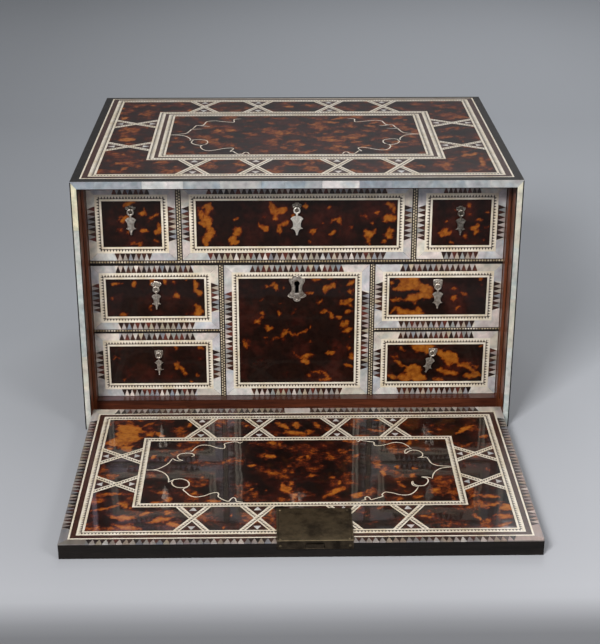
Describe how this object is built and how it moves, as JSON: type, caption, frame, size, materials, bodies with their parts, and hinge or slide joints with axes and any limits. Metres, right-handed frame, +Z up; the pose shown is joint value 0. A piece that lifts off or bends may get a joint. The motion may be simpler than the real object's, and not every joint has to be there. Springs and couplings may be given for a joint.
{
  "type": "table cabinet",
  "caption": "Table cabinet with a drop front that opens to banks of drawers, veneered in tortoiseshell panels, bone strapwork and mother-of-pearl borders.",
  "frame": {"origin": "middle of the carcase's underside, where it stands", "axes": "+Z up, the drawers face -Y, +X to the right of someone facing them"},
  "size_m": [0.46, 0.602, 0.28],
  "materials": {
    "rosewood": "polished dark reddish-brown rosewood",
    "ebony": "polished black ebony",
    "plain_wood": "plain oiled hardwood",
    "drawer_wood": "plain waxed cedar",
    "tortoiseshell": "polished brown-black shell with amber blotches",
    "mother_of_pearl": "polished iridescent shell with small dark triangles let in",
    "bone": "smooth aged bone with a fine dark check",
    "silver": "worn cast silver",
    "bronze": "dark olive-brown patinated metal",
    "steel": "dull filed iron"
  },
  "bodies": {
    "carcase": {"top_board": "rosewood", "bottom_board": "rosewood", "left_side": "rosewood", "right_side": "rosewood", "back_board": "plain_wood", "dividers": "rosewood", "front_edging": "mother_of_pearl", "carcase_borders": "ebony", "carcase_strapwork": "bone", "carcase_panels": "tortoiseshell", "hinge_pins": "steel", "lock_keep": "steel"},
    "fall": {"fall_board": "ebony", "fall_border": "mother_of_pearl", "fall_strapwork": "bone", "fall_panels": "tortoiseshell", "fall_outer_veneer": "tortoiseshell", "fall_lock": "bronze"},
    "fall_bolt": {"fall_lock_bolt": "steel"},
    "drawer_top_left": {"drawer_top_left_box": "drawer_wood", "drawer_top_left_border": "mother_of_pearl", "drawer_top_left_panel": "tortoiseshell", "drawer_top_left_pull": "silver"},
    "drawer_top_left_handle": {"drawer_top_left_drop": "silver"},
    "drawer_top_centre": {"drawer_top_centre_box": "drawer_wood", "drawer_top_centre_border": "mother_of_pearl", "drawer_top_centre_panel": "tortoiseshell", "drawer_top_centre_pull": "silver"},
    "drawer_top_centre_handle": {"drawer_top_centre_drop": "silver"},
    "drawer_top_right": {"drawer_top_right_box": "drawer_wood", "drawer_top_right_border": "mother_of_pearl", "drawer_top_right_panel": "tortoiseshell", "drawer_top_right_pull": "silver"},
    "drawer_top_right_handle": {"drawer_top_right_drop": "silver"},
    "drawer_mid_left": {"drawer_mid_left_box": "drawer_wood", "drawer_mid_left_border": "mother_of_pearl", "drawer_mid_left_panel": "tortoiseshell", "drawer_mid_left_pull": "silver"},
    "drawer_mid_left_handle": {"drawer_mid_left_drop": "silver"},
    "drawer_mid_right": {"drawer_mid_right_box": "drawer_wood", "drawer_mid_right_border": "mother_of_pearl", "drawer_mid_right_panel": "tortoiseshell", "drawer_mid_right_pull": "silver"},
    "drawer_mid_right_handle": {"drawer_mid_right_drop": "silver"},
    "drawer_low_left": {"drawer_low_left_box": "drawer_wood", "drawer_low_left_border": "mother_of_pearl", "drawer_low_left_panel": "tortoiseshell", "drawer_low_left_pull": "silver"},
    "drawer_low_left_handle": {"drawer_low_left_drop": "silver"},
    "drawer_low_right": {"drawer_low_right_box": "drawer_wood", "drawer_low_right_border": "mother_of_pearl", "drawer_low_right_panel": "tortoiseshell", "drawer_low_right_pull": "silver"},
    "drawer_low_right_handle": {"drawer_low_right_drop": "silver"},
    "drawer_centre": {"drawer_centre_box": "drawer_wood", "drawer_centre_border": "mother_of_pearl", "drawer_centre_panel": "tortoiseshell", "drawer_centre_escutcheon": "silver", "drawer_centre_lock": "steel"},
    "drawer_centre_bolt": {"drawer_centre_bolt": "steel"}
  },
  "joints": [
    {"name": "fall_hinge", "type": "hinge", "parent": "carcase", "child": "fall", "pos_m": [0, -0.165, 0.008], "axis": [1, 0, 0], "range_deg": [-90, 0]},
    {"name": "fall_bolt_slide", "type": "slide", "parent": "fall", "child": "fall_bolt", "axis": [0, -1, 0], "range_m": [0, 0.0045]},
    {"name": "drawer_top_left_slide", "type": "slide", "parent": "carcase", "child": "drawer_top_left", "axis": [0, -1, 0], "range_m": [0, 0.22]},
    {"name": "drawer_top_centre_slide", "type": "slide", "parent": "carcase", "child": "drawer_top_centre", "axis": [0, -1, 0], "range_m": [0, 0.22]},
    {"name": "drawer_top_right_slide", "type": "slide", "parent": "carcase", "child": "drawer_top_right", "axis": [0, -1, 0], "range_m": [0, 0.22]},
    {"name": "drawer_mid_left_slide", "type": "slide", "parent": "carcase", "child": "drawer_mid_left", "axis": [0, -1, 0], "range_m": [0, 0.22]},
    {"name": "drawer_mid_right_slide", "type": "slide", "parent": "carcase", "child": "drawer_mid_right", "axis": [0, -1, 0], "range_m": [0, 0.22]},
    {"name": "drawer_low_left_slide", "type": "slide", "parent": "carcase", "child": "drawer_low_left", "axis": [0, -1, 0], "range_m": [0, 0.22]},
    {"name": "drawer_low_right_slide", "type": "slide", "parent": "carcase", "child": "drawer_low_right", "axis": [0, -1, 0], "range_m": [0, 0.22]},
    {"name": "drawer_centre_slide", "type": "slide", "parent": "carcase", "child": "drawer_centre", "axis": [0, -1, 0], "range_m": [0, 0.22]},
    {"name": "drawer_top_left_handle_swing", "type": "hinge", "parent": "drawer_top_left", "child": "drawer_top_left_handle", "pos_m": [-0.17445, -0.1346, 0.23761], "axis": [-1, 0, 0], "range_deg": [0, 85]},
    {"name": "drawer_top_centre_handle_swing", "type": "hinge", "parent": "drawer_top_centre", "child": "drawer_top_centre_handle", "pos_m": [0, -0.1346, 0.23875], "axis": [-1, 0, 0], "range_deg": [0, 85]},
    {"name": "drawer_top_right_handle_swing", "type": "hinge", "parent": "drawer_top_right", "child": "drawer_top_right_handle", "pos_m": [0.17251, -0.1346, 0.23485], "axis": [-1, 0, 0], "range_deg": [0, 85]},
    {"name": "drawer_mid_left_handle_swing", "type": "hinge", "parent": "drawer_mid_left", "child": "drawer_mid_left_handle", "pos_m": [-0.15095, -0.1346, 0.15063], "axis": [-1, 0, 0], "range_deg": [0, 85]},
    {"name": "drawer_mid_right_handle_swing", "type": "hinge", "parent": "drawer_mid_right", "child": "drawer_mid_right_handle", "pos_m": [0.15149, -0.1346, 0.15181], "axis": [-1, 0, 0], "range_deg": [0, 85]},
    {"name": "drawer_low_left_handle_swing", "type": "hinge", "parent": "drawer_low_left", "child": "drawer_low_left_handle", "pos_m": [-0.15109, -0.1346, 0.07295], "axis": [-1, 0, 0], "range_deg": [0, 85]},
    {"name": "drawer_low_right_handle_swing", "type": "hinge", "parent": "drawer_low_right", "child": "drawer_low_right_handle", "pos_m": [0.14919, -0.1346, 0.07325], "axis": [-1, 0, 0], "range_deg": [0, 85]},
    {"name": "drawer_centre_bolt_slide", "type": "slide", "parent": "drawer_centre", "child": "drawer_centre_bolt", "axis": [0, 0, 1], "range_m": [0, 0.004]}
  ]
}
